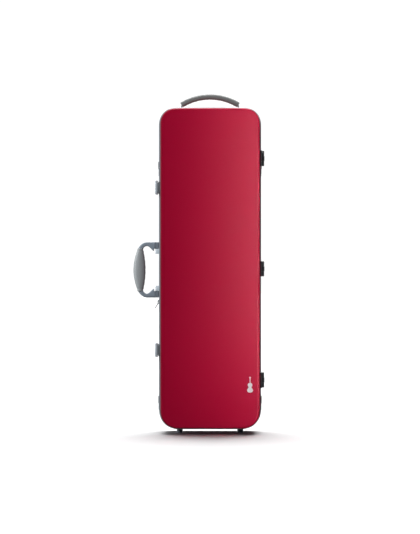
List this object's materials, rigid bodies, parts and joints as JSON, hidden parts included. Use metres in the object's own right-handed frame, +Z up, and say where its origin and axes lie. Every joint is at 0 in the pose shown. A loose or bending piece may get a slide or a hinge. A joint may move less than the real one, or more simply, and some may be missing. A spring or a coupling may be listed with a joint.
{
  "type": "violin case",
  "caption": "Upright oblong hard-shell violin case with a hinged lid, flip latches, a folding side handle, a top handle, feet, and a padded bed with bow holders inside.",
  "frame": {"origin": "on the plane of the feet, under the middle of the shells' width and depth", "axes": "+Z up along the case's length, +X towards the hinges, -Y towards the lid's face"},
  "size_m": [0.3231, 0.14, 0.835],
  "materials": {
    "shell": "satin",
    "trim": "satin",
    "seal": "matte",
    "hinge_plastic": "satin",
    "steel": "polished",
    "latch_plastic": "satin",
    "grip_leather": "satin",
    "foot_rubber": "matte",
    "plush": "matte",
    "soft_pad": "matte",
    "bow_plastic": "satin"
  },
  "bodies": {
    "base": {"base_shell": "shell", "base_rim": "trim", "rim_gasket": "seal", "violin_bed": "plush", "accessory_box": "plush", "shoulder_rest_well": "plush", "neck_channel": "plush", "neck_rest": "soft_pad", "neck_strap": "soft_pad", "hinge_upper_base_leaf": "hinge_plastic", "hinge_upper_pin": "steel", "hinge_middle_base_leaf": "hinge_plastic", "hinge_middle_pin": "steel", "hinge_lower_base_leaf": "hinge_plastic", "hinge_lower_pin": "steel", "latch_upper_plate": "latch_plastic", "latch_upper_pin": "steel", "latch_lower_plate": "latch_plastic", "latch_lower_pin": "steel", "side_handle_bracket_upper": "latch_plastic", "side_handle_bracket_lower": "latch_plastic", "side_handle_pins": "steel", "top_handle_anchor_left": "hinge_plastic", "top_handle_anchor_right": "hinge_plastic", "feet": "foot_rubber", "strap_anchor_upper_left": "hinge_plastic", "strap_anchor_upper_right": "hinge_plastic", "strap_anchor_lower_left": "hinge_plastic", "strap_anchor_lower_right": "hinge_plastic", "key_ring_lug": "hinge_plastic", "hinge_screws_base": "steel"},
    "lid": {"lid_shell": "shell", "lid_rim": "trim", "lid_lining": "plush", "hinge_upper_lid_leaf": "hinge_plastic", "hinge_middle_lid_leaf": "hinge_plastic", "hinge_lower_lid_leaf": "hinge_plastic", "latch_upper_keeper": "hinge_plastic", "latch_lower_keeper": "hinge_plastic", "bow_tip_sleeve_left": "soft_pad", "bow_tip_sleeve_right": "soft_pad", "bow_clip_left": "bow_plastic", "bow_clip_right": "bow_plastic", "hinge_screws_lid": "steel"},
    "latch_upper_lever": {"latch_upper_lever": "latch_plastic"},
    "latch_lower_lever": {"latch_lower_lever": "latch_plastic"},
    "side_handle": {"side_handle_bow": "latch_plastic", "side_handle_grip": "grip_leather"},
    "top_handle": {"top_handle_sleeve": "grip_leather", "top_handle_wire": "steel"},
    "accessory_flap": {"accessory_flap": "plush"},
    "bow_spinner_left": {"bow_spinner_left": "bow_plastic"},
    "bow_spinner_right": {"bow_spinner_right": "bow_plastic"},
    "key_ring": {"key_ring": "steel"},
    "strap_ring_upper_left": {"strap_ring_upper_left": "steel"},
    "strap_ring_upper_right": {"strap_ring_upper_right": "steel"},
    "strap_ring_lower_left": {"strap_ring_lower_left": "steel"},
    "strap_ring_lower_right": {"strap_ring_lower_right": "steel"}
  },
  "joints": [
    {"name": "lid_hinge", "type": "hinge", "parent": "base", "child": "lid", "pos_m": [0.1297, -0.014, 0.4035], "axis": [0, 0, 1], "range_deg": [0, 105]},
    {"name": "latch_upper_flip", "type": "hinge", "parent": "base", "child": "latch_upper_lever", "pos_m": [-0.1298, 0.014, 0.6028], "axis": [0, 0, -1], "range_deg": [0, 100]},
    {"name": "latch_lower_flip", "type": "hinge", "parent": "base", "child": "latch_lower_lever", "pos_m": [-0.1298, 0.014, 0.2043], "axis": [0, 0, -1], "range_deg": [0, 100]},
    {"name": "side_handle_fold", "type": "hinge", "parent": "base", "child": "side_handle", "pos_m": [-0.13, 0.01, 0.401], "axis": [0, 0, 1], "range_deg": [-75, 75]},
    {"name": "top_handle_fold", "type": "hinge", "parent": "base", "child": "top_handle", "pos_m": [0, 0.02, 0.7982], "axis": [1, 0, 0], "range_deg": [-60, 60]},
    {"name": "accessory_flap_hinge", "type": "hinge", "parent": "base", "child": "accessory_flap", "pos_m": [-0.1125, -0.00835, 0.615], "axis": [0, 0, -1], "range_deg": [0, 90]},
    {"name": "bow_spinner_left_turn", "type": "hinge", "parent": "lid", "child": "bow_spinner_left", "pos_m": [-0.066, -0.0458, 0.7], "axis": [0, 1, 0], "range_deg": [0, 90]},
    {"name": "bow_spinner_right_turn", "type": "hinge", "parent": "lid", "child": "bow_spinner_right", "pos_m": [0.066, -0.0458, 0.7], "axis": [0, -1, 0], "range_deg": [0, 90]},
    {"name": "key_ring_swing", "type": "hinge", "parent": "base", "child": "key_ring", "pos_m": [-0.1268, -0.006, 0.321], "axis": [0, 1, 0], "range_deg": [-29, 65]},
    {"name": "strap_ring_upper_left_swing", "type": "hinge", "parent": "base", "child": "strap_ring_upper_left", "pos_m": [-0.1258, 0.038, 0.653], "axis": [0, 1, 0], "range_deg": [0, 150]},
    {"name": "strap_ring_upper_right_swing", "type": "hinge", "parent": "base", "child": "strap_ring_upper_right", "pos_m": [0.1258, 0.038, 0.653], "axis": [0, -1, 0], "range_deg": [0, 150]},
    {"name": "strap_ring_lower_left_swing", "type": "hinge", "parent": "base", "child": "strap_ring_lower_left", "pos_m": [-0.1258, 0.038, 0.073], "axis": [0, 1, 0], "range_deg": [0, 150]},
    {"name": "strap_ring_lower_right_swing", "type": "hinge", "parent": "base", "child": "strap_ring_lower_right", "pos_m": [0.1258, 0.038, 0.073], "axis": [0, -1, 0], "range_deg": [0, 150]}
  ],
  "couplings": [
    {"joint": "accessory_flap_hinge", "follows": "lid_hinge", "ratio": 0.857}
  ]
}
